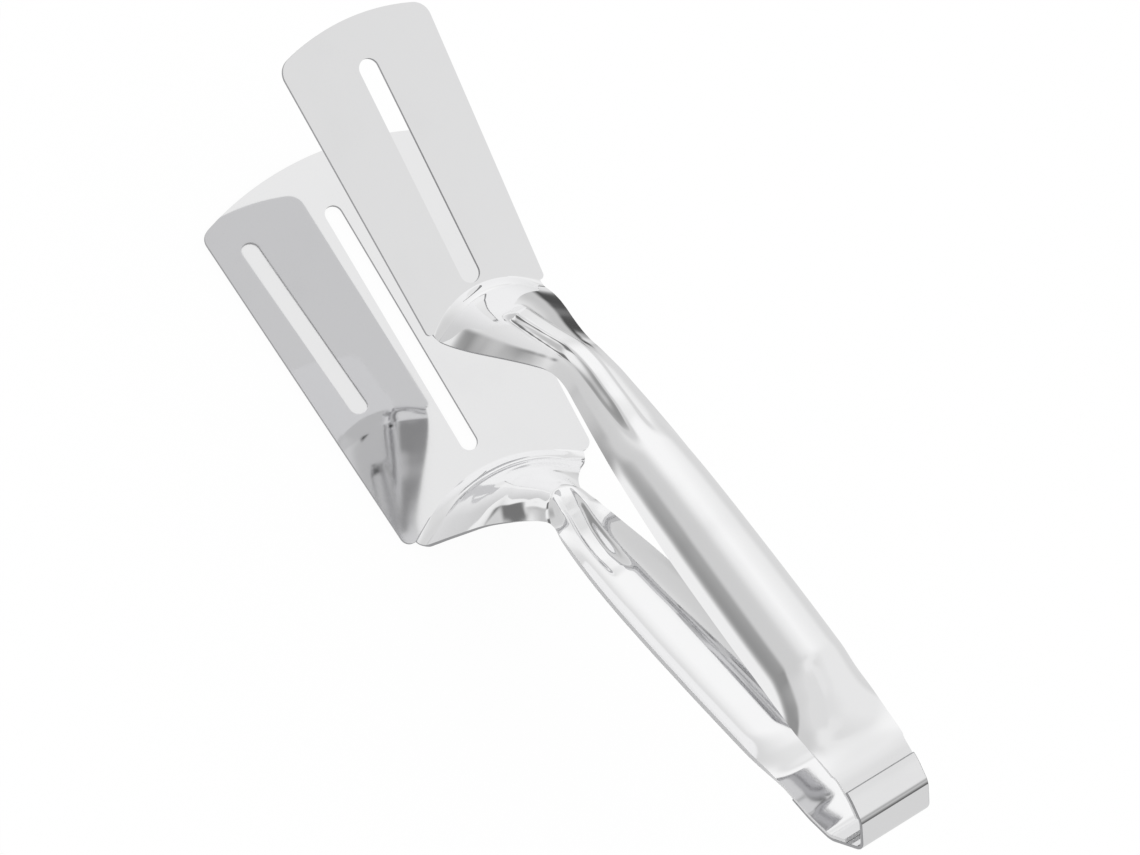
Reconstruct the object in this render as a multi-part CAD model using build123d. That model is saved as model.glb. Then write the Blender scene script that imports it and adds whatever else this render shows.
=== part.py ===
from build123d import *
from math import cos, radians, sin, sqrt, tan
import os

# Spatula tongs pressed from stainless steel sheet: two arms and a U-shaped tail spring.
# Millimetres. X runs from the tail to the blade tips, Y across, Z up. The places below are measured from the
# base end of the lower slot, on the upper face of the lower blade. The finished part is moved so that the
# lower blade's underside lies at Z = 0 and the origin is under the middle of its length.

# Sheet
sheet = 1.0
strip = 0.9
weld_gap = 0.05

# Lower blade, along its plane from the base end of its slot. The tip land is what the slot leaves before the
# tip, and the heel share is the width at the heel bend as a share of the width of the blade's base.
lower_blade_reach = 89.6
lower_tip_land = 17.6
lower_base_width = 61.4
lower_heel_share = 0.896
lower_tip_width = 72.6
lower_tip_radius = 93.5
lower_tip_corner = 3.8
lower_base_corner = 2.6
lower_slot_width = 5.2

# Upper blade, along its plane from the base end of its slot
upper_slot_x = 30.9
upper_slot_z = 58.6
upper_tilt = 11.3
upper_blade_reach = 71.3
upper_tip_land = 13.9
upper_base_width = 36.4
upper_heel_share = 0.918
upper_tip_width = 44.6
upper_tip_radius = 58.8
upper_tip_corner = 4.7
upper_base_corner = 1.2
upper_slot_width = 5.6

# Side view of the arms' edges: X and Z of each corner, and the radius of the bend there
heel_bend_radius = 2.6
bend_lead_share = 1.02
lower_heel_x = -19.2
lower_riser_bend = (-23.6, 16.7)
lower_riser_radius = 25.0
lower_crest = (-33.2, 36.8)
lower_crest_radius = 7.0
lower_handle_bend = (-85.0, 66.0)
handle_bend_radius = 200.0
upper_heel_x = 19.6
upper_crest = (-7.0, 89.0)
upper_crest_radius = 18.0
upper_handle_bend = (-60.0, 98.1)
upper_tab_bend = (-114.0, 110.6)
upper_tab_radius = 30.0
tab_entry_radius = 20.0

# Inner face of the tail spring in side view, from its upper front end round the back to its lower front end
spring_corners = [(-129.4, 113.9), (-131.6, 113.8), (-136.8, 112.3), (-142.4, 105.6), (-137.0, 93.2),
                  (-130.4, 88.8), (-124.6, 86.2)]
tab_lead = 5.0
spring_radii = [12.0, 1.6, 4.0, 6.0, 12.0]
upper_end_share = 0.85
lower_end_share = 0.55

# Widths along the arms
neck_width = 14.6
upper_handle_width = 23.5
lower_handle_width = 22.0
tab_width = 20.6

# Pressed bead on the neck
bead_height = 2.1
bead_width = 7.2
bead_top_share = 0.4

# Places along an arm are counted 0 at the heel bend, 1 at the crest, 2 where the tab starts, 3 at its end.
# Share of the flare from neck to heel that is left at each place
lower_flare_shares = [(0.0, 1.0), (0.07, 0.93), (0.15, 0.82), (0.22, 0.71), (0.34, 0.56), (0.45, 0.42),
                      (0.58, 0.25), (0.74, 0.10), (0.90, 0.02), (1.0, 0.0)]
upper_flare_shares = [(0.0, 1.0), (0.13, 0.95), (0.26, 0.83), (0.38, 0.67), (0.52, 0.46), (0.64, 0.29),
                      (0.76, 0.14), (0.88, 0.03), (1.0, 0.0)]

# Share of the way from the neck's width to the handle's, and from the handle's to the tab's
swell_shares = [(1.0, 0.0), (1.07, 0.18), (1.15, 0.42), (1.25, 0.66), (1.38, 0.84), (1.55, 0.96),
                (1.70, 1.0)]
taper_shares = [(1.88, 0.0), (1.96, 0.45), (2.06, 0.9), (2.2, 1.0)]

# Slope of a section's steepest stretch as a share of the wall angle, downward from the middle when positive
wall_angle = 80.0
upper_wall_shares = [(0.0, 0.4), (0.5, 0.38), (0.85, 0.44), (1.0, 0.47), (1.08, 0.44), (1.16, 0.49),
                     (1.24, 0.74), (1.34, 0.9), (1.45, 1.0), (1.82, 1.0), (1.90, 0.71), (1.96, 0.33),
                     (2.0, 0.0)]
lower_wall_shares = [(0.0, 0.36), (0.5, 0.52), (0.82, 0.74), (0.93, 0.76), (1.0, 0.43), (1.06, -0.15),
                     (1.12, -0.36), (1.24, -0.48), (1.34, -0.54), (1.45, -0.56), (1.82, -0.56),
                     (1.90, -0.42), (1.96, -0.2), (2.0, 0.0)]

# Share of the developed half section over which the slope turns; outside it the sheet runs straight
crown_shares = [(0.0, 0.72), (1.10, 0.72), (1.30, 0.92), (1.45, 1.0)]

# Share of the bead's height
upper_bead_shares = [(0.30, 0.0), (0.37, 0.5), (0.44, 1.0), (1.10, 1.0), (1.17, 0.5), (1.23, 0.0)]
lower_bead_shares = [(0.90, 0.0), (0.96, 0.5), (1.03, 1.0), (1.12, 1.0), (1.18, 0.5), (1.23, 0.0)]

# Where the heel bend ends, the places at which sections are drawn, with even ones after them on the tab, and
# how finely each half is drawn
bend_end_place = 0.1
section_places = [0.0, 0.015, 0.03, 0.045, 0.06, 0.08, 0.10, 0.13, 0.18, 0.24, 0.31, 0.37, 0.44, 0.54, 0.65,
                  0.76, 0.85, 0.92, 0.97, 1.0, 1.03, 1.06, 1.10, 1.135, 1.17, 1.205, 1.25, 1.30, 1.36, 1.45,
                  1.58, 1.72, 1.82, 1.88, 1.92, 1.96, 2.0, 2.04]
tab_sections = 20
half_steps = 15
slope_steps = 12


def smooth_value(shares, place):
    """Value of a table at a place, on a smooth curve through its rows."""
    if place <= shares[0][0]:
        return shares[0][1]
    if place >= shares[-1][0]:
        return shares[-1][1]
    row = max(i for i in range(len(shares) - 1) if shares[i][0] <= place)
    rises = [(b[1] - a[1]) / (b[0] - a[0]) for a, b in zip(shares, shares[1:])]

    def slope(i):
        if i == 0 or i == len(rises) or rises[i - 1] * rises[i] <= 0:
            return 0
        return 2 * rises[i - 1] * rises[i] / (rises[i - 1] + rises[i])

    (x0, y0), (x1, y1) = shares[row], shares[row + 1]
    span = x1 - x0
    t = (place - x0) / span
    start = y0 * (1 + 2 * t) * (1 - t) ** 2 + slope(row) * span * t * (1 - t) ** 2
    return start + y1 * t * t * (3 - 2 * t) + slope(row + 1) * span * t * t * (t - 1)


def in_side_view(*places):
    """Points of the side view at (X, Z) places."""
    return [Vector(x, 0, z) for x, z in places]


def parallel(corners, distance):
    """Corners of the line that runs beside a bent line, at a distance to the left of its direction."""
    runs = [(b - a).normalized() for a, b in zip(corners, corners[1:])]
    left = [Vector(-run.Z, 0, run.X) for run in runs]
    before = [left[0]] + left
    after = left + [left[-1]]
    return [corner + (a + b) * (distance / (1 + a.dot(b))) for corner, a, b in zip(corners, before, after)]


def half_section(width, wall, crown):
    """Points (across, height above the edge) from the middle to the edge of a section.

    The section is drawn by its slope, which turns steadily from level to the wall's over the crown and stays
    there. It is then scaled to its width.
    """
    across, drop = 0, 0
    points = [(across, drop)]
    step = 1 / (half_steps * slope_steps)
    for i in range(half_steps):
        for j in range(slope_steps):
            slope = wall * min((i * slope_steps + j + 0.5) * step / crown, 1)
            across += step * cos(radians(slope))
            drop += step * sin(radians(slope))
        points.append((across, drop))
    scale = width / 2 / across
    return [(y * scale, (drop - z) * scale) for y, z in points]


def bead_form(across):
    """Share of the bead's height at a distance from the middle: a flat top with rounded shoulders."""
    top = bead_top_share * bead_width / 2
    fall = min(max((abs(across) - top) / (bead_width / 2 - top), 0), 1)
    return 1 - fall * fall * (3 - 2 * fall)


class Arm:
    """A pressed arm: a flat blade, and sheet that runs from its heel over the crest to the tail."""

    def __init__(self, blade_plane, corners, radii, crest, tab, widths, form):
        self.plane = blade_plane
        backward = -blade_plane.x_dir
        turn = backward.get_angle(corners[1] - corners[0])
        bend_reach = heel_bend_radius * tan(radians(turn) / 2)
        start = corners[0] - backward * (bend_reach * bend_lead_share)
        corners = [start] + corners
        self.path = FilletPolyline(*corners, radius=[heel_bend_radius] + radii)
        runs = [(b - a).length for a, b in zip(corners, corners[1:])]
        self.marks = [sum(runs[:i]) / sum(runs) for i in (0, crest + 1, tab + 1, len(runs))]
        self.heel_width, self.handle_width = widths
        self.flares, self.walls, self.beads, self.bead_rise = form

    def width(self, place):
        """Width of the sheet at a place along the arm."""
        flare = smooth_value(self.flares, place)
        swell = smooth_value(swell_shares, place)
        taper = smooth_value(taper_shares, place)
        width = neck_width + (self.heel_width - neck_width) * flare
        width += (self.handle_width - neck_width) * swell
        return width + (tab_width - self.handle_width) * taper

    def section(self, place):
        """Points across the sheet's upper face at a place along the arm."""
        mark = min(int(place), 2)
        share = self.marks[mark] + (self.marks[mark + 1] - self.marks[mark]) * (place - mark)
        edge, tangent = self.path @ share, self.path % share
        turned = min(place / bend_end_place, 1)
        outward = self.plane.x_dir * (1 - turned) + Vector(tangent.Z, 0, -tangent.X) * turned
        outward = outward.normalized()
        wall = wall_angle * smooth_value(self.walls, place)
        half = half_section(self.width(place), wall, smooth_value(crown_shares, place))
        bead = self.bead_rise * smooth_value(self.beads, place)
        points = []
        for y, z in [(-y, z) for y, z in reversed(half[1:])] + half:
            points.append(edge + outward * (z + bead * bead_form(y)) + Vector(0, y, 0))
        return points

    def handle(self):
        """The sheet from the heel bend to the end of the tab, as a solid, and its edge at the heel."""
        last = section_places[-1]
        places = section_places + [last + (3 - last) * (i + 1) / tab_sections for i in range(tab_sections)]
        upper = [self.section(place) for place in places]
        lower = []
        for i, row in enumerate(upper):
            below = []
            for j, point in enumerate(row):
                along = upper[min(i + 1, len(upper) - 1)][j] - upper[max(i - 1, 0)][j]
                across = row[min(j + 1, len(row) - 1)] - row[max(j - 1, 0)]
                normal = self.plane.z_dir if i == 0 else across.cross(along).normalized()
                below.append(point - normal * sheet)
            lower.append(below)
        faces = []
        for rows in (upper, lower):
            faces += Shell.make_loft([Wire([Edge.make_spline(row)]) for row in rows], ruled=True).faces()
        for column in (0, -1):
            edges = [Wire(Polyline(*[row[column] for row in rows]).edges()) for rows in (upper, lower)]
            faces += Shell.make_loft(edges, ruled=True).faces()
        heel, end = [[Edge.make_spline(rows[i]) for rows in (upper, lower)] for i in (0, -1)]
        faces += [Face.make_surface_from_curves(*heel), Face.make_surface_from_curves(*end)]
        return Solid(Shell(faces)), heel[0]


def blade(arm, heel_edge, reach, tip_land, base_width, tip_width, tip_radius, tip_corner, base_corner,
          slot_width):
    """Flat blade with one round-ended slot, from the heel bend's curved start to the tip."""
    edge = arm.plane.to_local_coords(heel_edge)
    ends = sorted([edge @ 0, edge @ 1], key=lambda point: point.Y)
    heel = ends[1]
    tip_side = reach - tip_radius + sqrt(tip_radius ** 2 - (tip_width / 2) ** 2)
    base = Vector(heel.X, base_width / 2)
    tip = Vector(tip_side, tip_width / 2)
    side = FilletPolyline(heel, base, tip, radius=base_corner)
    nose = ThreePointArc(tip, (reach, 0), (tip_side, -tip_width / 2))
    outline = make_face([edge, *side.edges(), nose, *mirror(side, Plane.XZ).edges()])
    outline = fillet(outline.vertices().sort_by(Axis.X)[-2:], tip_corner)
    slot_length = reach - tip_land
    outline -= Pos(slot_length / 2, 0) * SlotCenterToCenter(slot_length, slot_width)
    return arm.plane.from_local_coords(extrude(outline, -sheet))


def spring_strip():
    """Strip of constant width, bent round the tail outside both tabs."""
    inner = in_side_view(*spring_corners)
    outer = parallel(inner, -strip)
    faces = [FilletPolyline(*inner, radius=spring_radii),
             FilletPolyline(*outer, radius=[radius + strip for radius in spring_radii])]
    ends = [Line(inner[0], outer[0]), Line(inner[-1], outer[-1])]
    profile = make_face([edge for line in faces + ends for edge in line.edges()])
    return extrude(profile, tab_width / 2, both=True, dir=(0, 1, 0))


spring_inner = in_side_view(*spring_corners)
upper_tab = parallel(spring_inner, weld_gap)
upper_tab[0] += (upper_tab[0] - upper_tab[1]).normalized() * tab_lead
lower_tab = parallel(spring_inner, weld_gap + sheet)[::-1]
lower_tab[0] += (lower_tab[0] - lower_tab[1]).normalized() * tab_lead

lower_route = in_side_view((lower_heel_x, 0), lower_riser_bend, lower_crest, lower_handle_bend)
lower_route += lower_tab[:3] + [lower_tab[2] + (lower_tab[3] - lower_tab[2]) * lower_end_share]
lower_bends = [lower_riser_radius, lower_crest_radius, handle_bend_radius, tab_entry_radius]
lower_bends += [radius - weld_gap - sheet for radius in (spring_radii[4], spring_radii[3])]
lower_form = (lower_flare_shares, lower_wall_shares, lower_bead_shares, -bead_height)
lower_widths = (lower_base_width * lower_heel_share, lower_handle_width)
lower = Arm(Plane.XY, lower_route, lower_bends, 2, 4, lower_widths, lower_form)

slot_base = Vector(upper_slot_x, 0, upper_slot_z)
upper_forward = Vector(cos(radians(upper_tilt)), 0, sin(radians(upper_tilt)))
upper_plane = Plane(slot_base, x_dir=upper_forward, z_dir=(-upper_forward.Z, 0, upper_forward.X))
upper_heel = slot_base + upper_forward * ((upper_heel_x - upper_slot_x) / upper_forward.X)
upper_route = [upper_heel] + in_side_view(upper_crest, upper_handle_bend, upper_tab_bend)
upper_route += upper_tab[:2] + [upper_tab[1] + (upper_tab[2] - upper_tab[1]) * upper_end_share]
upper_bends = [upper_crest_radius, handle_bend_radius, upper_tab_radius, tab_entry_radius]
upper_bends += [spring_radii[0] - weld_gap]
upper_form = (upper_flare_shares, upper_wall_shares, upper_bead_shares, bead_height)
upper_widths = (upper_base_width * upper_heel_share, upper_handle_width)
upper = Arm(upper_plane, upper_route, upper_bends, 1, 4, upper_widths, upper_form)

lower_handle, lower_edge = lower.handle()
upper_handle, upper_edge = upper.handle()
lower_blade = blade(lower, lower_edge, lower_blade_reach, lower_tip_land, lower_base_width, lower_tip_width,
                    lower_tip_radius, lower_tip_corner, lower_base_corner, lower_slot_width)
upper_blade = blade(upper, upper_edge, upper_blade_reach, upper_tip_land, upper_base_width, upper_tip_width,
                    upper_tip_radius, upper_tip_corner, upper_base_corner, upper_slot_width)

nodes = {
    "lower_arm": (lower_blade + lower_handle).solid(),
    "upper_arm": (upper_blade + upper_handle).solid(),
    "tail_spring": spring_strip().solid(),
}
box = Compound(list(nodes.values())).bounding_box()
shift = Pos(-(box.min.X + box.max.X) / 2, 0, sheet)

os.makedirs("parts", exist_ok=True)
for name, solid in nodes.items():
    export_step(shift * solid, f"parts/{name}.step")
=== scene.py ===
"""Spatula tongs of polished steel sheet: two pressed arms and a tail spring, on a pale floor."""

from math import asin, atan2, cos, pi, radians, sin, sqrt, tan

import bmesh
import bpy
from bpy.props import FloatProperty, FloatVectorProperty, IntProperty, PointerProperty
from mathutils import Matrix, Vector


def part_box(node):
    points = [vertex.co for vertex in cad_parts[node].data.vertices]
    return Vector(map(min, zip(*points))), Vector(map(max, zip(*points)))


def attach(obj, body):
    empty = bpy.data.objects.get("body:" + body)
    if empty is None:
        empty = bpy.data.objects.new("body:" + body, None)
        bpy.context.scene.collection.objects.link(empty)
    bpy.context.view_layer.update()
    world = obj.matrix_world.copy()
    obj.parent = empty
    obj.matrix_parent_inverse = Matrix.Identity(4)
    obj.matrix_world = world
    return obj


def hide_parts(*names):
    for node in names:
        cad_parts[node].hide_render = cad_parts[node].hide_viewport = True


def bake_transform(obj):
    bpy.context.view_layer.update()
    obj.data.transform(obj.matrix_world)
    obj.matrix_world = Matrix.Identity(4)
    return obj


bl_info = {
    "name": "Spatula tongs",
    "version": (1, 0, 0),
    "blender": (4, 5, 0),
    "location": "3D View > Sidebar > Tongs",
    "description": "Builds polished steel spatula tongs round their packed frame",
    "category": "Object",
}

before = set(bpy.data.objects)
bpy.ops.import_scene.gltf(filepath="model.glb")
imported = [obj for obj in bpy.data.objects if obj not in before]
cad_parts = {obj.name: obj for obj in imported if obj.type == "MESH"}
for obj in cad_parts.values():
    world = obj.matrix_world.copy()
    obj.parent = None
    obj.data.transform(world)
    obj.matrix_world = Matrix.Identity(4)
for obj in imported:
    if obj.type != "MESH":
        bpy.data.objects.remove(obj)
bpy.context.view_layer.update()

MM = 0.001

# Side view of the arms' edges in millimetres, from the base end of the lower slot: X and Z of each corner
LOWER_ROUTE = [(-19.2, 0.0), (-23.6, 16.7), (-33.2, 36.8), (-85.0, 66.0)]
UPPER_ROUTE = [(-7.0, 89.0), (-60.0, 98.1), (-114.0, 110.6)]
SPRING_ROUTE = [(-129.4, 113.9), (-131.6, 113.8), (-136.8, 112.3), (-142.4, 105.6), (-137.0, 93.2),
                (-130.4, 88.8), (-124.6, 86.2)]
SPRING_RADII = [12.0, 3.6, 3.8, 6.0, 12.0]
LOWER_RADII = [25.0, 7.0, 200.0, 20.0]
UPPER_RADII = [18.0, 200.0, 30.0, 20.0]
TAB_LEAD = 5.0

# How far each tab reaches into the spring's last bend, and how far the heel bend's run leads in
LOWER_END_SHARE = 0.55
UPPER_END_SHARE = 0.85
BEND_LEAD_SHARE = 1.02

# Flat share of the bead's width, and the place at which the heel bend ends
BEAD_TOP_SHARE = 0.4
BEND_END_PLACE = 0.1

# Shares by place along an arm: 0 at the heel bend, 1 at the crest, 2 where the tab starts, 3 at its end
LOWER_FLARE = [(0.0, 1.0), (0.07, 0.93), (0.15, 0.82), (0.22, 0.71), (0.34, 0.56), (0.45, 0.42),
               (0.58, 0.25), (0.74, 0.10), (0.90, 0.02), (1.0, 0.0)]
UPPER_FLARE = [(0.0, 1.0), (0.13, 0.95), (0.26, 0.83), (0.38, 0.67), (0.52, 0.46), (0.64, 0.29),
               (0.76, 0.14), (0.88, 0.03), (1.0, 0.0)]
SWELL = [(1.0, 0.0), (1.07, 0.18), (1.15, 0.42), (1.25, 0.66), (1.38, 0.84), (1.55, 0.96), (1.70, 1.0)]
TAPER = [(1.88, 0.0), (1.96, 0.45), (2.06, 0.9), (2.2, 1.0)]
UPPER_WALL = [(0.0, 0.40), (0.5, 0.38), (0.85, 0.44), (1.0, 0.47), (1.08, 0.44), (1.16, 0.49), (1.24, 0.74),
              (1.34, 0.90), (1.45, 1.0), (1.78, 1.0), (1.85, 0.78), (1.91, 0.38), (1.96, 0.08), (2.0, 0.0)]
LOWER_WALL = [(0.0, 0.36), (0.5, 0.52), (0.82, 0.74), (0.93, 0.76), (1.0, 0.43), (1.06, -0.15),
              (1.12, -0.36), (1.24, -0.48), (1.34, -0.54), (1.45, -0.56), (1.82, -0.56),
              (1.90, -0.42), (1.96, -0.2), (2.0, 0.0)]
CROWN = [(0.0, 0.72), (1.10, 0.72), (1.30, 0.92), (1.45, 1.0)]
UPPER_BEAD = [(0.30, 0.0), (0.37, 0.5), (0.44, 1.0), (1.10, 1.0), (1.17, 0.5), (1.23, 0.0)]
LOWER_BEAD = [(0.90, 0.0), (0.96, 0.5), (1.03, 1.0), (1.12, 1.0), (1.18, 0.5), (1.23, 0.0)]

# Finest steps along an arm: up to each place, how many
STEPS = [(0.12, 18), (0.9, 52), (1.3, 60), (1.85, 60), (2.05, 24), (3.0, 48)]
SPRING_STEPS = 120
CORNER_STEPS = 10
NOSE_STEPS = 48
SLOT_STEPS = 14

# Places in X, from the base end of the lower slot, behind which the arms' rims are buffed without the cut
# edges' painted shade, and behind which their undersides have the outer faces' bright steel without the painted
# shade
BUFFED_FROM = -33.2
UNDER_SHADE_ENDS_AT = -106.0

# Places of the finishes in a piece's list of materials
OUTER, CUT, UNDER, RIM = range(4)

# Width of the band of faces along a blade's edges
EDGE_BAND = 0.0003


def smooth_value(shares, place):
    """Value of a table at a place, on a smooth curve through its rows."""
    if place <= shares[0][0]:
        return shares[0][1]
    if place >= shares[-1][0]:
        return shares[-1][1]
    row = max(i for i in range(len(shares) - 1) if shares[i][0] <= place)
    rises = [(b[1] - a[1]) / (b[0] - a[0]) for a, b in zip(shares, shares[1:])]

    def slope(i):
        if i == 0 or i == len(rises) or rises[i - 1] * rises[i] <= 0:
            return 0
        return 2 * rises[i - 1] * rises[i] / (rises[i - 1] + rises[i])

    (x0, y0), (x1, y1) = shares[row], shares[row + 1]
    span = x1 - x0
    t = (place - x0) / span
    start = y0 * (1 + 2 * t) * (1 - t) ** 2 + slope(row) * span * t * (1 - t) ** 2
    return start + y1 * t * t * (3 - 2 * t) + slope(row + 1) * span * t * t * (t - 1)


def side_points(places):
    """Points of the side view, in metres, at (X, Z) places in millimetres."""
    return [Vector((x * MM, 0, z * MM)) for x, z in places]


def left_of(run):
    """Direction to the left of a run in the side view."""
    return Vector((-run.z, 0, run.x))


def parallel(corners, distance):
    """Corners of the line that runs beside a bent line, at a distance to its left."""
    runs = [(b - a).normalized() for a, b in zip(corners, corners[1:])]
    left = [left_of(run) for run in runs]
    before = [left[0]] + left
    after = left + [left[-1]]
    return [corner + (a + b) * (distance / (1 + a.dot(b))) for corner, a, b in zip(corners, before, after)]


class BentLine:
    """A line in the side view with its corners rounded."""

    def __init__(self, corners, radii):
        self.pieces = []
        spot = corners[0]
        runs = [(b - a).normalized() for a, b in zip(corners, corners[1:])]
        for corner, radius, run, after in zip(corners[1:-1], radii, runs, runs[1:]):
            turn = run.angle(after)
            reach = radius * tan(turn / 2)
            start = corner - run * reach
            side = left_of(run) * (1 if left_of(run).dot(after) > 0 else -1)
            self.pieces.append(((start - spot).length, spot, run, side, 0))
            self.pieces.append((radius * turn, start, run, side, radius))
            spot = corner + after * reach
        self.pieces.append(((corners[-1] - spot).length, spot, runs[-1], left_of(runs[-1]), 0))
        self.length = sum(piece[0] for piece in self.pieces)

    def at(self, share):
        """Point and direction at a share of the length."""
        distance = share * self.length
        for length, start, run, side, radius in self.pieces:
            if distance <= length or start is self.pieces[-1][1]:
                break
            distance -= length
        if not radius:
            return start + run * distance, run
        angle = distance / radius
        point = start + run * (radius * sin(angle)) + side * (radius * (1 - cos(angle)))
        return point, run * cos(angle) + side * sin(angle)


def half_section(width, wall, crown, steps):
    """Points (across, height above the edge) from the middle to the edge of a section, drawn by its slope."""
    across, drop = 0, 0
    points = [(across, drop)]
    fine = 8
    step = 1 / (steps * fine)
    for i in range(steps):
        for j in range(fine):
            slope = wall * min((i * fine + j + 0.5) * step / crown, 1)
            across += step * cos(slope)
            drop += step * sin(slope)
        points.append((across, drop))
    scale = width / 2 / across
    return [(y * scale, (drop - z) * scale) for y, z in points]


class ArmForm:
    """The pressed sheet of one arm, section by section."""

    def __init__(self, forward, up, corners, radii, crest, tab, widths, tables, bead_rise, sizes):
        self.forward, self.up, self.sizes = forward, up, sizes
        backward = -forward
        turn = backward.angle(corners[1] - corners[0])
        lead = sizes.heel_bend_radius * tan(turn / 2) * BEND_LEAD_SHARE
        corners = [corners[0] - backward * lead] + corners
        self.line = BentLine(corners, [sizes.heel_bend_radius] + radii)
        runs = [(b - a).length for a, b in zip(corners, corners[1:])]
        self.marks = [sum(runs[:i]) / sum(runs) for i in (0, crest + 1, tab + 1, len(runs))]
        self.heel_width, self.handle_width = widths
        self.flares, self.walls, self.beads = tables
        self.bead_rise = bead_rise

    def width(self, place):
        """Width of the sheet at a place."""
        sizes = self.sizes
        width = sizes.neck_width + (self.heel_width - sizes.neck_width) * smooth_value(self.flares, place)
        width += (self.handle_width - sizes.neck_width) * smooth_value(SWELL, place)
        return width + (sizes.tab_width - self.handle_width) * smooth_value(TAPER, place)

    def bead_form(self, across):
        """Share of the bead's height at a distance from the middle."""
        half = self.sizes.bead_width / 2
        top = BEAD_TOP_SHARE * half
        fall = min(max((abs(across) - top) / (half - top), 0), 1)
        return 1 - fall * fall * (3 - 2 * fall)

    def section(self, place):
        """Points across the sheet's upper face at a place, from one edge to the other."""
        mark = min(int(place), 2)
        share = self.marks[mark] + (self.marks[mark + 1] - self.marks[mark]) * (place - mark)
        edge, run = self.line.at(share)
        turned = min(place / BEND_END_PLACE, 1)
        outward = (self.forward * (1 - turned) - left_of(run) * turned).normalized()
        wall = self.sizes.wall_angle * smooth_value(self.walls, place)
        half = half_section(self.width(place), wall, smooth_value(CROWN, place), self.sizes.half_steps)
        bead = self.bead_rise * smooth_value(self.beads, place)
        points = []
        for y, z in [(-y, z) for y, z in reversed(half[1:])] + half:
            points.append(edge + outward * (z + bead * self.bead_form(y)) + Vector((0, y, 0)))
        return points


def length(name, description, default):
    """A length property in metres."""
    return FloatProperty(name=name, description=description, default=default, min=0, precision=5, unit="LENGTH")


class TongsSizes(bpy.types.PropertyGroup):
    """Sizes of the tongs, and how finely the sheet is drawn."""

    sheet: length("Sheet", "Thickness of the arms' sheet", 0.001)
    strip: length("Strip", "Thickness of the tail spring", 0.0009)
    weld_gap: length("Weld gap", "Gap between the tabs and the spring", 0.00005)
    heel_bend_radius: length("Heel bend", "Radius of the bend at a blade's heel", 0.0026)
    neck_width: length("Neck", "Width of the sheet at the crest", 0.0146)
    lower_handle_width: length("Lower handle", "Width of the lower handle's hollow face", 0.022)
    upper_handle_width: length("Upper handle", "Width of the upper handle's round face", 0.0235)
    tab_width: length("Tab", "Width of the end tabs and of the spring", 0.0206)
    wall_angle: FloatProperty(name="Wall angle", description="Steepest slope of the handle's wall",
                              default=radians(80), subtype="ANGLE")
    bead_height: length("Bead height", "Height of the pressed bead", 0.0021)
    bead_width: length("Bead width", "Width of the pressed bead", 0.0072)
    edge_rounding: length("Edge rounding", "Rounding of the cut edges", 0.00016)
    half_steps: IntProperty(name="Half steps", description="Faces across half a section", default=28, min=4)


class LowerBladeSizes(bpy.types.PropertyGroup):
    """Sizes of the wide lower blade."""

    slot_x: FloatProperty(name="Slot X", description="Place of the slot's base end", default=0.0, unit="LENGTH")
    slot_z: length("Slot Z", "Height of the slot's base end", 0.0)
    base_width: length("Base width", "Width at the heel's corners", 0.0614)
    heel_share: FloatProperty(name="Heel share", description="Share of the base width that the bend takes",
                              default=0.896)
    tip_width: length("Tip width", "Width at the tip's corners", 0.0726)
    tip_radius: length("Tip radius", "Radius of the tip's curve", 0.0935)
    base_corner: length("Base corner", "Rounding of the heel's corners", 0.0026)
    tip_corner: length("Tip corner", "Rounding of the tip's corners", 0.0038)
    reach: length("Reach", "Length from the slot's base end to the tip", 0.0896)
    tip_land: length("Tip land", "Steel left between the slot's far end and the tip", 0.0176)
    slot_width: length("Slot width", "Width of the slot", 0.0052)


class UpperBladeSizes(bpy.types.PropertyGroup):
    """Sizes of the narrow upper blade."""

    slot_x: FloatProperty(name="Slot X", description="Place of the slot's base end", default=0.0309,
                          unit="LENGTH")
    slot_z: length("Slot Z", "Height of the slot's base end", 0.0586)
    tilt: FloatProperty(name="Tilt", description="Slope of the blade", default=radians(11.3), subtype="ANGLE")
    heel_x: length("Heel X", "Place of the heel's bend", 0.0196)
    base_width: length("Base width", "Width at the heel's corners", 0.0364)
    heel_share: FloatProperty(name="Heel share", description="Share of the base width that the bend takes",
                              default=0.918)
    tip_width: length("Tip width", "Width at the tip's corners", 0.0446)
    tip_radius: length("Tip radius", "Radius of the tip's curve", 0.0588)
    base_corner: length("Base corner", "Rounding of the heel's corners", 0.0012)
    tip_corner: length("Tip corner", "Rounding of the tip's corners", 0.0047)
    reach: length("Reach", "Length from the slot's base end to the tip", 0.0713)
    tip_land: length("Tip land", "Steel left between the slot's far end and the tip", 0.0139)
    slot_width: length("Slot width", "Width of the slot", 0.0056)


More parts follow.
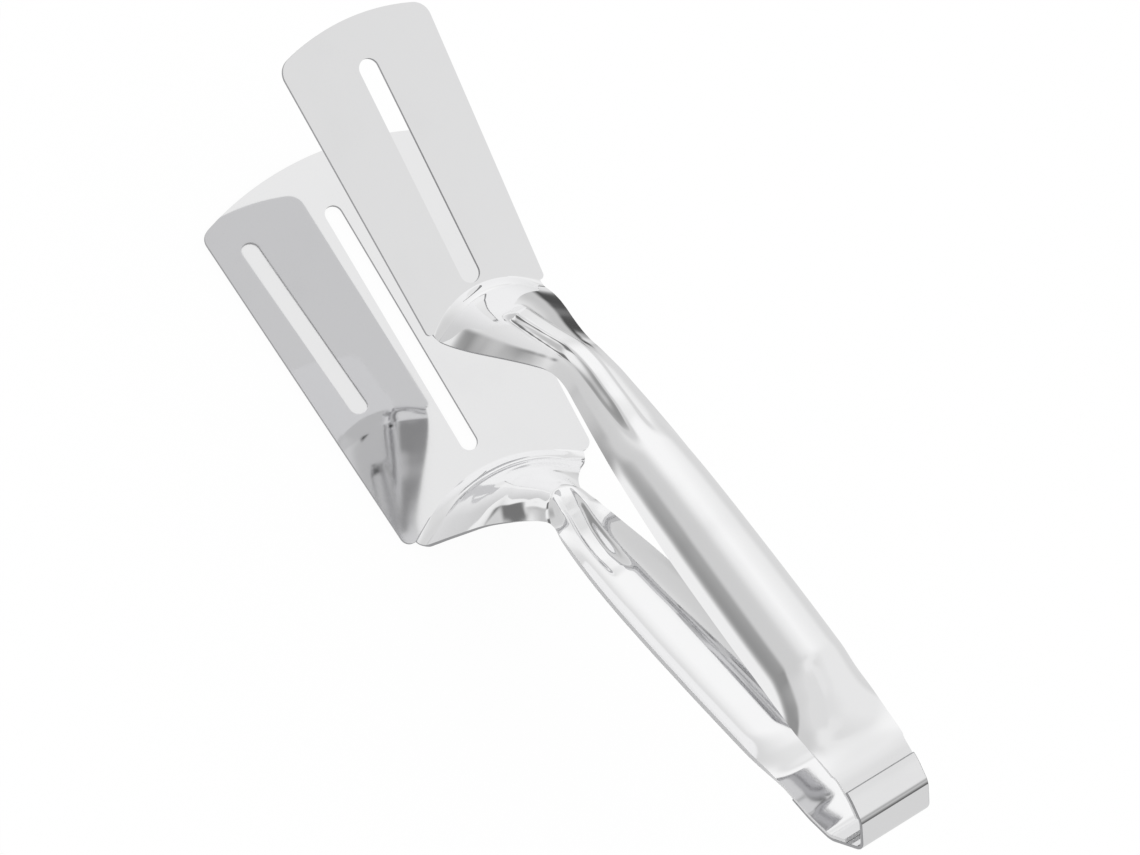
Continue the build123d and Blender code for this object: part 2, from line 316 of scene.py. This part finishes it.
class SteelFinish(bpy.types.PropertyGroup):
    """Look of the steel."""

    colour: FloatVectorProperty(name="Steel", description="Colour of the polished outer faces", subtype="COLOR",
                                size=3, default=(0.925, 0.925, 0.93))
    # Darker copy of the outer steel: painted shade on the faces under the sheet
    shaded_under_colour: FloatVectorProperty(name="Inner steel", description="Colour of the faces under the sheet",
                                      subtype="COLOR", size=3, default=(0.70, 0.70, 0.71))
    # The cut edges' dark colour is painted shade along the edges; their roughness and fine lines are the
    # sheared steel's own
    shaded_edge_colour: FloatVectorProperty(name="Cut edges", description="Colour of the cut edges", subtype="COLOR",
                                     size=3, default=(0.36, 0.36, 0.37))
    rim_colour: FloatVectorProperty(name="Handle rims", description="Colour of the handles' buffed edges",
                                    subtype="COLOR", size=3, default=(0.93, 0.93, 0.935))
    roughness: FloatProperty(name="Roughness", description="Roughness of the polished faces", default=0.02,
                             min=0, max=1, subtype="FACTOR")
    polish_from: FloatProperty(name="Polish from", description="Place in X behind which the polish is softer",
                               default=0.05, unit="LENGTH")
    handle_dullness: FloatProperty(name="Handle dullness", description="Roughness that the handles have more",
                                   default=0.045, min=0, max=1, subtype="FACTOR")
    edge_roughness: FloatProperty(name="Edge roughness", description="Roughness of the cut edges",
                                  default=0.32, min=0, max=1, subtype="FACTOR")
    ripple: length("Ripple", "Height of the pressing's slow ripples", 0.00002)
    rim_roughness: FloatProperty(name="Rim roughness", description="Roughness of the handles' buffed edges",
                                 default=0.75, min=0, max=1, subtype="FACTOR")
    scuffs: FloatProperty(name="Scuffs", description="How much the finest rubbed marks show", default=0.35,
                          min=0, max=1, subtype="FACTOR")


class StudioLook(bpy.types.PropertyGroup):
    """Camera, floor and the plain level of the light."""

    camera_place: FloatVectorProperty(name="Camera", description="Place of the camera", size=3, precision=5,
                                      subtype="TRANSLATION", default=(-0.0848058, 0.3514505, 0.8565161))
    camera_turn: FloatVectorProperty(name="Camera turn", description="Turn of the camera", size=3, precision=4,
                                     subtype="EULER",
                                     default=[radians(a) for a in (17.555537, -17.462518, -122.334422)])
    lens: FloatProperty(name="Lens", description="Focal length in millimetres", default=109.053, unit="CAMERA")
    floor_size: length("Floor", "Half the floor's width", 3.0)
    floor_glow: FloatProperty(name="Floor glow", description="Own light of the pale floor", default=0.94,
                              min=0, max=1)
    floor_shade: FloatProperty(name="Floor shade", description="Share of the light that the floor's shadow "
                               "takes away", default=0.08, min=0, max=1)


def spring_corners():
    """Corners of the spring's inner face in the side view."""
    return side_points(SPRING_ROUTE)


def tab_corners(gap, backwards):
    """Corners of a tab that runs inside the spring, at a gap from its inner face."""
    corners = parallel(spring_corners(), gap)
    if backwards:
        corners.reverse()
    corners[0] += (corners[0] - corners[1]).normalized() * (TAB_LEAD * MM)
    return corners


def lower_form(scene):
    """The lower arm's form."""
    sizes, blade = scene.tongs_sizes, scene.tongs_lower_blade
    inset = sizes.weld_gap + sizes.sheet
    tab = tab_corners(inset, True)
    route = side_points(LOWER_ROUTE) + tab[:3] + [tab[2].lerp(tab[3], LOWER_END_SHARE)]
    radii = [radius * MM for radius in LOWER_RADII]
    radii += [SPRING_RADII[4] * MM - inset, SPRING_RADII[3] * MM - inset]
    widths = (blade.base_width * blade.heel_share, sizes.lower_handle_width)
    tables = (LOWER_FLARE, LOWER_WALL, LOWER_BEAD)
    return ArmForm(Vector((1, 0, 0)), Vector((0, 0, 1)), route, radii, 2, 4, widths, tables,
                   -sizes.bead_height, sizes)


def upper_form(scene):
    """The upper arm's form."""
    sizes, blade = scene.tongs_sizes, scene.tongs_upper_blade
    forward = Vector((cos(blade.tilt), 0, sin(blade.tilt)))
    heel = slot_base(blade) + forward * ((blade.heel_x - blade.slot_x) / forward.x)
    tab = tab_corners(sizes.weld_gap, False)
    route = [heel] + side_points(UPPER_ROUTE) + tab[:2] + [tab[1].lerp(tab[2], UPPER_END_SHARE)]
    radii = [radius * MM for radius in UPPER_RADII] + [SPRING_RADII[0] * MM - sizes.weld_gap]
    widths = (blade.base_width * blade.heel_share, sizes.upper_handle_width)
    tables = (UPPER_FLARE, UPPER_WALL, UPPER_BEAD)
    return ArmForm(forward, left_of(forward), route, radii, 1, 4, widths, tables, sizes.bead_height, sizes)


def slot_base(blade):
    """The base end of a blade's slot."""
    return Vector((blade.slot_x, 0, blade.slot_z))


def model_origin(scene):
    """The base end of the lower slot, on the blade's upper face, in the shared frame."""
    sheet, blade = scene.tongs_sizes.sheet, scene.tongs_upper_blade
    tip = blade.slot_x + blade.reach * cos(blade.tilt) + sheet * sin(blade.tilt)
    return Vector((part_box("upper_arm")[1].x - tip, 0, sheet))


def press_handle(mesh, form):
    """Draws a grid over the arm's sections and returns the vertices of its heel edge in order."""
    places, last = [0.0], 0.0
    for end, count in STEPS:
        places += [last + (end - last) * (i + 1) / count for i in range(count)]
        last = end
    rows = [form.section(place) for place in places]
    along, across = len(rows) - 1, len(rows[0]) - 1
    grid = bmesh.ops.create_grid(mesh, x_segments=along, y_segments=across, size=0.5)["verts"]
    heel = [None] * (across + 1)
    for vertex in grid:
        i, j = round((vertex.co.x + 0.5) * along), round((0.5 - vertex.co.y) * across)
        vertex.co = rows[i][j]
        if i == 0:
            heel[j] = vertex
    return heel


class Pen:
    """Draws lines and arcs of edges in a plane, from a vertex on."""

    def __init__(self, mesh, start, axis):
        self.mesh, self.tip, self.axis = mesh, start, axis

    def line_to(self, point):
        """Draws a straight edge to a point."""
        self.tip = bmesh.ops.extrude_vert_indiv(self.mesh, verts=[self.tip])["verts"][0]
        self.tip.co = point

    def turn(self, centre, angle, steps):
        """Draws an arc about a centre."""
        made = bmesh.ops.spin(self.mesh, geom=[self.tip], cent=centre, axis=self.axis, angle=angle, steps=steps)
        self.tip = next(item for item in made["geom_last"] if isinstance(item, bmesh.types.BMVert))

    def join(self, vertex):
        """Joins the end of the drawing to a vertex."""
        bmesh.ops.weld_verts(self.mesh, targetmap={self.tip: vertex})


class BladeOutline:
    """The arcs and corners of a blade's outline, measured from the base end of its slot."""

    def __init__(self, blade, base_x):
        self.base_x, self.half_base = base_x, blade.base_width / 2
        self.base_corner, self.tip_corner = blade.base_corner, blade.tip_corner
        nose_x = blade.reach - blade.tip_radius
        tip_side = nose_x + sqrt(blade.tip_radius ** 2 - (blade.tip_width / 2) ** 2)
        self.lean = atan2(blade.tip_width / 2 - self.half_base, tip_side - base_x)
        self.base_turn = pi / 2 - self.lean
        self.base_reach = self.base_corner * tan(self.base_turn / 2)
        inner = blade.tip_radius - self.tip_corner
        gap = self.half_base - (base_x - nose_x) * tan(self.lean) - self.tip_corner / cos(self.lean)
        self.nose = (nose_x, 0)
        self.nose_slope = asin(gap * cos(self.lean) / inner) + self.lean
        self.corner = (nose_x + inner * cos(self.nose_slope), inner * sin(self.nose_slope))
        self.tip_turn = pi / 2 + self.lean - self.nose_slope

    def base_centre(self, side):
        """Centre of a heel corner's rounding."""
        return self.base_x + self.base_corner, side * (self.half_base - self.base_reach)

    def side_start(self, side):
        """Where a heel corner's rounding meets the straight side."""
        x, y = self.base_centre(side)
        return x - self.base_corner * sin(self.lean), y + side * self.base_corner * cos(self.lean)

    def side_end(self, side):
        """Where the straight side meets a tip corner's rounding."""
        x, y = self.corner
        return x - self.tip_corner * sin(self.lean), side * (y + self.tip_corner * cos(self.lean))


def draw_blade(mesh, heel, form, blade):
    """Draws the flat blade between the heel edge and its outline, round its slot."""
    base, side = slot_base(blade), Vector((0, 1, 0))

    def at(x, y):
        return base + form.forward * x + side * y

    outline = BladeOutline(blade, (heel[-1].co - base).dot(form.forward))
    pen = Pen(mesh, heel[-1], form.up)
    pen.line_to(at(outline.base_x, outline.base_centre(1)[1]))
    pen.turn(at(*outline.base_centre(1)), -outline.base_turn, CORNER_STEPS)
    pen.line_to(at(*outline.side_end(1)))
    pen.turn(at(*outline.corner), -outline.tip_turn, CORNER_STEPS)
    pen.turn(at(*outline.nose), -2 * outline.nose_slope, NOSE_STEPS)
    pen.turn(at(outline.corner[0], -outline.corner[1]), -outline.tip_turn, CORNER_STEPS)
    pen.line_to(at(*outline.side_start(-1)))
    pen.turn(at(*outline.base_centre(-1)), -outline.base_turn, CORNER_STEPS)
    pen.line_to(heel[0].co)
    pen.join(heel[0])

    slot_length, half = blade.reach - blade.tip_land, blade.slot_width / 2
    start = mesh.verts.new(at(0, half))
    pen = Pen(mesh, start, form.up)
    pen.line_to(at(slot_length, half))
    pen.turn(at(slot_length, 0), -pi, SLOT_STEPS)
    pen.line_to(at(0, -half))
    pen.turn(at(0, 0), -pi, SLOT_STEPS)
    pen.join(start)
    edges = [edge for edge in mesh.edges if not edge.link_faces or set(heel).issuperset(edge.verts)]
    filled = bmesh.ops.triangle_fill(mesh, edges=edges, use_beauty=True, use_dissolve=False, normal=form.up)
    faces = [item for item in filled["geom"] if isinstance(item, bmesh.types.BMFace)]
    bmesh.ops.inset_region(mesh, faces=faces, thickness=EDGE_BAND, use_boundary=True, use_even_offset=True)


def finish_from(data, from_x, old, new):
    """Changes one finish into another behind a place in X."""
    limit = model_origin(bpy.context.scene).x + from_x * MM
    for face in data.polygons:
        if face.material_index == old and face.center.x < limit:
            face.material_index = new


def finish_sheet(mesh, name, up, thickness, side, edge_finish):
    """Turns the drawn sheet into a piece with thickness and rounded cut edges.

    Side is the side of the drawn face on which the thickness goes, and edge finish is the place of the rounded
    edges' material, or -1 where it comes from the faces beside them.
    """
    scene = bpy.context.scene
    bmesh.ops.translate(mesh, verts=mesh.verts[:], vec=model_origin(scene))
    bmesh.ops.recalc_face_normals(mesh, faces=mesh.faces[:])
    if max(mesh.faces, key=lambda face: face.calc_area()).normal.dot(up) < 0:
        bmesh.ops.reverse_faces(mesh, faces=mesh.faces[:])
    data = bpy.data.meshes.new(name)
    mesh.to_mesh(data)
    mesh.free()
    for finish in (polished_steel, shaded_cut_edge_steel, shaded_under_steel, rim_steel):
        data.materials.append(finish())
    data.shade_smooth()
    piece = bpy.data.objects.new(name, data)
    scene.collection.objects.link(piece)
    wall = piece.modifiers.new("Thickness", "SOLIDIFY")
    wall.thickness = thickness
    wall.offset = side
    wall.use_even_offset = True
    # Faces under the sheet take the darker steel, which is painted shade
    wall.material_offset = UNDER
    # Rim faces take the cut edges' dark steel, which is painted shade
    wall.material_offset_rim = CUT
    rounding = piece.modifiers.new("Rounded edges", "BEVEL")
    rounding.width = scene.tongs_sizes.edge_rounding
    rounding.segments = 2
    rounding.limit_method = "ANGLE"
    rounding.angle_limit = radians(50)
    rounding.harden_normals = True
    # Where edge finish is the cut edges' place, the rounded edges take their painted shade too
    rounding.material = edge_finish
    shown = piece.evaluated_get(bpy.context.evaluated_depsgraph_get())
    finished = bpy.data.meshes.new_from_object(shown)
    piece.modifiers.clear()
    piece.data = finished
    # Behind this place the undersides keep the outer steel, without the painted shade
    finish_from(finished, UNDER_SHADE_ENDS_AT, UNDER, OUTER)
    return piece


class Value:
    """A shader socket that takes part in expressions."""

    def __init__(self, tree, socket):
        self.tree, self.socket = tree, socket

    def math(self, operation, *others, **settings):
        """Adds a Math node on this socket."""
        return self.tree.add("ShaderNodeMath", {"operation": operation, **settings},
                             dict(enumerate((self, *others))))

    def __add__(self, other):
        return self.math("ADD", other)

    def __sub__(self, other):
        return self.math("SUBTRACT", other)

    def __mul__(self, other):
        return self.math("MULTIPLY", other)

    def __rsub__(self, other):
        return self * -1 + other

    __radd__, __rmul__ = __add__, __mul__


class Shader:
    """A node tree that is built with one method."""

    def __init__(self, tree):
        self.tree = tree
        tree.nodes.clear()

    def add(self, kind, settings=(), inputs=(), output=0):
        """Adds a node, sets it, fills its sockets and returns one of its outputs."""
        node = self.tree.nodes.new(kind)
        for name, value in dict(settings).items():
            setattr(node, name, value)
        for key, value in dict(inputs).items():
            if isinstance(value, Value):
                self.tree.links.new(value.socket, node.inputs[key])
            else:
                node.inputs[key].default_value = value
        return None if output is None else Value(self, node.outputs[output])

    def split(self, vector):
        """X, Y and Z of a vector."""
        first = self.add("ShaderNodeSeparateXYZ", inputs={0: vector})
        return [Value(self, socket) for socket in first.socket.node.outputs]

    def rise(self, value, low, high):
        """Smooth rise from 0 to 1 as a value goes from low to high."""
        return self.add("ShaderNodeMapRange", {"interpolation_type": "SMOOTHSTEP"}, {0: value, 1: low, 2: high})

    def tinted(self, colour, tint):
        """A plain colour, darkened by a tint from 0 to 1."""
        return self.add("ShaderNodeMix", {"data_type": "RGBA", "blend_type": "MULTIPLY"},
                        {"Factor": 1.0, 6: (*colour, 1), 7: tint}, output=2)

    def noise(self, place, scale, detail, roughness):
        """Noise from 0 to 1 at a place."""
        return self.add("ShaderNodeTexNoise", inputs={"Vector": place, "Scale": scale, "Detail": detail,
                                                      "Roughness": roughness})

    def output(self, kind, surface):
        """Adds the output node and joins a surface to it."""
        self.add(kind, inputs={0: surface}, output=None)


def new_material(name, surface, *look):
    """A node material, made once by a function that returns its surface."""
    known = bpy.data.materials.get(name)
    if known:
        return known
    material = bpy.data.materials.new(name)
    material.use_nodes = True
    shade = Shader(material.node_tree)
    shade.output("ShaderNodeOutputMaterial", surface(shade, *look))
    return material


def pressed_sheet(shade, look, base_colour):
    """Polished sheet with slow ripples from the press, fine rubbed marks and faint clouds."""
    place = shade.add("ShaderNodeTexCoord", output="Object")
    along = shade.add("ShaderNodeMapping", inputs={"Vector": place, "Scale": (60, 1600, 1600)})
    cloud = shade.noise(place, 38, 3, 0.55)
    grain = shade.noise(along, 1, 3, 0.6)
    specks = shade.noise(place, 900, 2, 0.5)
    x, _y, _z = shade.split(place)
    dull = shade.rise(cloud, 0.48, 0.72) * 0.02 + grain * look.scuffs * 0.04
    dull = dull + shade.rise(x, look.polish_from, look.polish_from - 0.04) * look.handle_dullness
    tint = 1 - shade.rise(cloud, 0.5, 0.8) * 0.02 - grain * look.scuffs * 0.02
    slow = shade.noise(place, 42, 1, 0.4)
    height = slow + specks * 0.004
    bump = shade.add("ShaderNodeBump", inputs={"Strength": 0.5, "Distance": look.ripple, "Height": height})
    return shade.add("ShaderNodeBsdfPrincipled",
                     inputs={"Base Color": shade.tinted(base_colour, tint), "Metallic": 1.0,
                             "Roughness": dull + look.roughness, "Normal": bump})


def sheet_edge(shade, base_colour, roughness):
    """Edge of the sheet, with fine lines across its thickness."""
    place = shade.add("ShaderNodeTexCoord", output="Object")
    marks = shade.noise(place, 2600, 2, 0.6)
    bump = shade.add("ShaderNodeBump", inputs={"Strength": 0.3, "Distance": 0.00004, "Height": marks})
    return shade.add("ShaderNodeBsdfPrincipled",
                     inputs={"Base Color": shade.tinted(base_colour, 0.9 + marks * 0.12), "Metallic": 1.0,
                             "Roughness": marks * 0.1 + roughness, "Normal": bump})


def polished_steel():
    """Steel of the outer faces, polished bright."""
    look = bpy.context.scene.tongs_finish
    return new_material("polished_steel", pressed_sheet, look, look.colour)


def shaded_under_steel():
    """Steel of the faces under the sheet, a darker copy of the outer steel as painted shade."""
    look = bpy.context.scene.tongs_finish
    return new_material("shaded_under_steel", pressed_sheet, look, look.shaded_under_colour)


def shaded_cut_edge_steel():
    """Sheared edge of the blades, slots and spring, its dark colour painted shade along the edges."""
    look = bpy.context.scene.tongs_finish
    return new_material("shaded_cut_edge_steel", sheet_edge, look.shaded_edge_colour, look.edge_roughness)


def rim_steel():
    """Buffed edge of the handles."""
    look = bpy.context.scene.tongs_finish
    return new_material("rim_steel", sheet_edge, look.rim_colour, look.rim_roughness)


def floor_surface(shade, look):
    """Pale surface with a little light of its own, which keeps the object's faint shadow."""
    place = shade.add("ShaderNodeTexCoord", output="Object")
    clouds = shade.noise(place, 6, 2, 0.5)
    matt = shade.add("ShaderNodeBsdfDiffuse", inputs={"Color": look.floor_shade * (0.96 + clouds * 0.08)})
    glow = shade.add("ShaderNodeEmission", inputs={"Color": (1, 1, 1, 1), "Strength": look.floor_glow})
    return shade.add("ShaderNodeAddShader", inputs={0: matt, 1: glow})


def pale_floor():
    """Material of the plain floor."""
    return new_material("pale_floor", floor_surface, bpy.context.scene.tongs_studio)


# Parts of the studio that the steel mirrors, each laid over those before it: the azimuth of its middle, half
# its width and the softness of its sides, the elevation and softness of its foot and of its top, all in
# degrees, and its brightness. Azimuths run from the dome's seam at 125 - 360 to 125.
STUDIO_PARTS = [
    (-190, 43, 10, 12, 8, 42, 8, 0.42),
    (-95, 50, 22, -4, 14, 58, 14, 0.86),
    (-58, 30, 14, 60, 10, 95, 2, 0.86),
    (-146, 20, 8, 58, 8, 95, 6, 0.83),
    (0, 400, 10, 77, 7, 95, 2, 0.86),
    (60, 48, 34, -6, 16, 74, 16, 0.66),
    (-30, 34, 22, 4, 16, 62, 14, 1.0),
    (0, 400, 10, -95, 1, -6, 10, 0.93),
    (-85, 50, 20, -95, 1, -2, 10, 0.74),
    (-38, 32, 10, -95, 1, -40, 4, 0.86),
    (-49, 14, 5, -38, 3, -16, 6, 0.60),
    (48, 4, 3, -55, 5, -22, 4, 0.55),
    (88, 35, 10, -2, 12, 33, 6, 0.42),
    (82, 14, 8, -4, 12, 33, 4, 0.31),
    (-160, 30, 6, -95, 1, 12, 10, 0.70),
    (-204, 10, 4, -14, 3, 4, 4, 0.36),
    (-147, 6, 5, 30, 6, 41, 6, 0.42),
    (-152, 5, 3, 6, 2, 19, 13, 0.05),
    (41, 10, 2, -20, 3, -1, 3, 0.19),
    (19, 3, 3, -4, 3, 3, 4, 0.31),
    (-57, 4, 3, -36, 3, -27, 3, 0.08),
]
DOME_LIGHT = 0.77
DOME_MIDDLE = -55


def studio_world(scene):
    """White studio for the camera, with soft panels and dark gaps for the steel to mirror."""
    world = scene.world or bpy.data.worlds.new("studio")
    scene.world = world
    world.use_nodes = True
    shade = Shader(world.node_tree)
    x, y, z = shade.split(shade.add("ShaderNodeTexCoord", output="Generated"))
    turn = radians(DOME_MIDDLE)
    around = (y * cos(turn) - x * sin(turn)).math("ARCTAN2", x * cos(turn) + y * sin(turn))
    around = around * (180 / pi) + DOME_MIDDLE
    height = z.math("ARCSINE") * (180 / pi)
    light = DOME_LIGHT
    for middle, half, side_soft, foot, foot_soft, top, top_soft, level in STUDIO_PARTS:
        mask = shade.rise((around - middle).math("ABSOLUTE"), half + side_soft, half - side_soft)
        mask = mask * shade.rise(height, foot - foot_soft, foot + foot_soft)
        mask = mask * shade.rise(height, top + top_soft, top - top_soft)
        light = light + (level - light) * mask
    seen = shade.add("ShaderNodeLightPath", output="Is Camera Ray")
    light = light + (1 - light) * seen
    back = shade.add("ShaderNodeBackground", inputs={"Color": light, "Strength": 1.0})
    shade.output("ShaderNodeOutputWorld", back)


def make_arm(scene, form, blade, name, node):
    """Makes one arm and puts it in the place of its CAD node."""
    mesh = bmesh.new()
    heel = press_handle(mesh, form)
    draw_blade(mesh, heel, form, blade)
    piece = finish_sheet(mesh, name, form.up, scene.tongs_sizes.sheet, -1, -1)
    # Behind this place the handles' rims take the rim steel, without the cut edges' painted shade
    finish_from(piece.data, BUFFED_FROM, CUT, RIM)
    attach(piece, node)
    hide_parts(node)


class TONGS_OT_wide_blade_arm(bpy.types.Operator):
    """Makes the lower arm: wide slotted blade, riser, hollow handle and tab"""

    bl_idname = "tongs.wide_blade_arm"
    bl_label = "Wide blade arm"

    def execute(self, context):
        scene = context.scene
        make_arm(scene, lower_form(scene), scene.tongs_lower_blade, "wide_blade_arm", "lower_arm")
        return {"FINISHED"}


class TONGS_OT_narrow_blade_arm(bpy.types.Operator):
    """Makes the upper arm: narrow slotted blade, beaded riser, round handle and tab"""

    bl_idname = "tongs.narrow_blade_arm"
    bl_label = "Narrow blade arm"

    def execute(self, context):
        scene = context.scene
        make_arm(scene, upper_form(scene), scene.tongs_upper_blade, "narrow_blade_arm", "upper_arm")
        return {"FINISHED"}


class TONGS_OT_tail_spring(bpy.types.Operator):
    """Makes the bent spring strip that joins the arms at the tail"""

    bl_idname = "tongs.tail_spring"
    bl_label = "Tail spring"

    def execute(self, context):
        sizes = context.scene.tongs_sizes
        line = BentLine(spring_corners(), [radius * MM for radius in SPRING_RADII])
        mesh = bmesh.new()
        grid = bmesh.ops.create_grid(mesh, x_segments=SPRING_STEPS, y_segments=8, size=0.5)["verts"]
        for vertex in grid:
            point, _run = line.at(round((vertex.co.x + 0.5) * SPRING_STEPS) / SPRING_STEPS)
            vertex.co = point + Vector((0, -vertex.co.y * sizes.tab_width, 0))
        piece = finish_sheet(mesh, "tail_spring_strip", Vector((-1, 0, 1)), sizes.strip, 1, CUT)
        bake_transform(piece)
        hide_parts("tail_spring")
        return {"FINISHED"}


class TONGS_OT_studio(bpy.types.Operator):
    """Makes the camera, the pale floor and the light"""

    bl_idname = "tongs.studio"
    bl_label = "Studio"

    def execute(self, context):
        scene = context.scene
        look = scene.tongs_studio
        camera = bpy.data.objects.new("Camera", bpy.data.cameras.new("Camera"))
        scene.collection.objects.link(camera)
        camera.location = look.camera_place
        camera.rotation_euler = look.camera_turn
        camera.data.lens = look.lens
        camera.data.sensor_width = 36
        camera.data.sensor_fit = "HORIZONTAL"
        camera.data.clip_start = 0.01
        scene.camera = camera
        scene.view_settings.view_transform = "Standard"

        mesh = bmesh.new()
        bmesh.ops.create_grid(mesh, x_segments=1, y_segments=1, size=look.floor_size)
        data = bpy.data.meshes.new("floor")
        mesh.to_mesh(data)
        mesh.free()
        data.materials.append(pale_floor())
        floor = bpy.data.objects.new("floor", data)
        scene.collection.objects.link(floor)
        floor.visible_glossy = False
        studio_world(scene)
        return {"FINISHED"}


class TONGS_PT_sidebar(bpy.types.Panel):
    """Lists the pieces of the tongs and their sizes"""

    bl_label = "Spatula tongs"
    bl_idname = "TONGS_PT_sidebar"
    bl_space_type = "VIEW_3D"
    bl_region_type = "UI"
    bl_category = "Tongs"

    def draw(self, context):
        layout = self.layout
        for kind in OPERATORS:
            layout.operator(kind.bl_idname)
        for name in GROUPS:
            group = getattr(context.scene, name)
            box = layout.box()
            for key in group.__annotations__:
                box.prop(group, key)


OPERATORS = (TONGS_OT_wide_blade_arm, TONGS_OT_narrow_blade_arm, TONGS_OT_tail_spring, TONGS_OT_studio)
GROUPS = {
    "tongs_sizes": TongsSizes,
    "tongs_lower_blade": LowerBladeSizes,
    "tongs_upper_blade": UpperBladeSizes,
    "tongs_finish": SteelFinish,
    "tongs_studio": StudioLook,
}


def register():
    """Registers the sizes, the operators and the panel."""
    for name, kind in GROUPS.items():
        bpy.utils.register_class(kind)
        setattr(bpy.types.Scene, name, PointerProperty(type=kind))
    for kind in (*OPERATORS, TONGS_PT_sidebar):
        bpy.utils.register_class(kind)


def unregister():
    """Takes back what register adds."""
    for kind in (TONGS_PT_sidebar, *reversed(OPERATORS)):
        bpy.utils.unregister_class(kind)
    for name, kind in GROUPS.items():
        delattr(bpy.types.Scene, name)
        bpy.utils.unregister_class(kind)


def main():
    """Builds the tongs and their studio."""
    register()
    bpy.ops.tongs.wide_blade_arm()
    bpy.ops.tongs.narrow_blade_arm()
    bpy.ops.tongs.tail_spring()
    bpy.ops.tongs.studio()


if __name__ == "__main__":
    main()
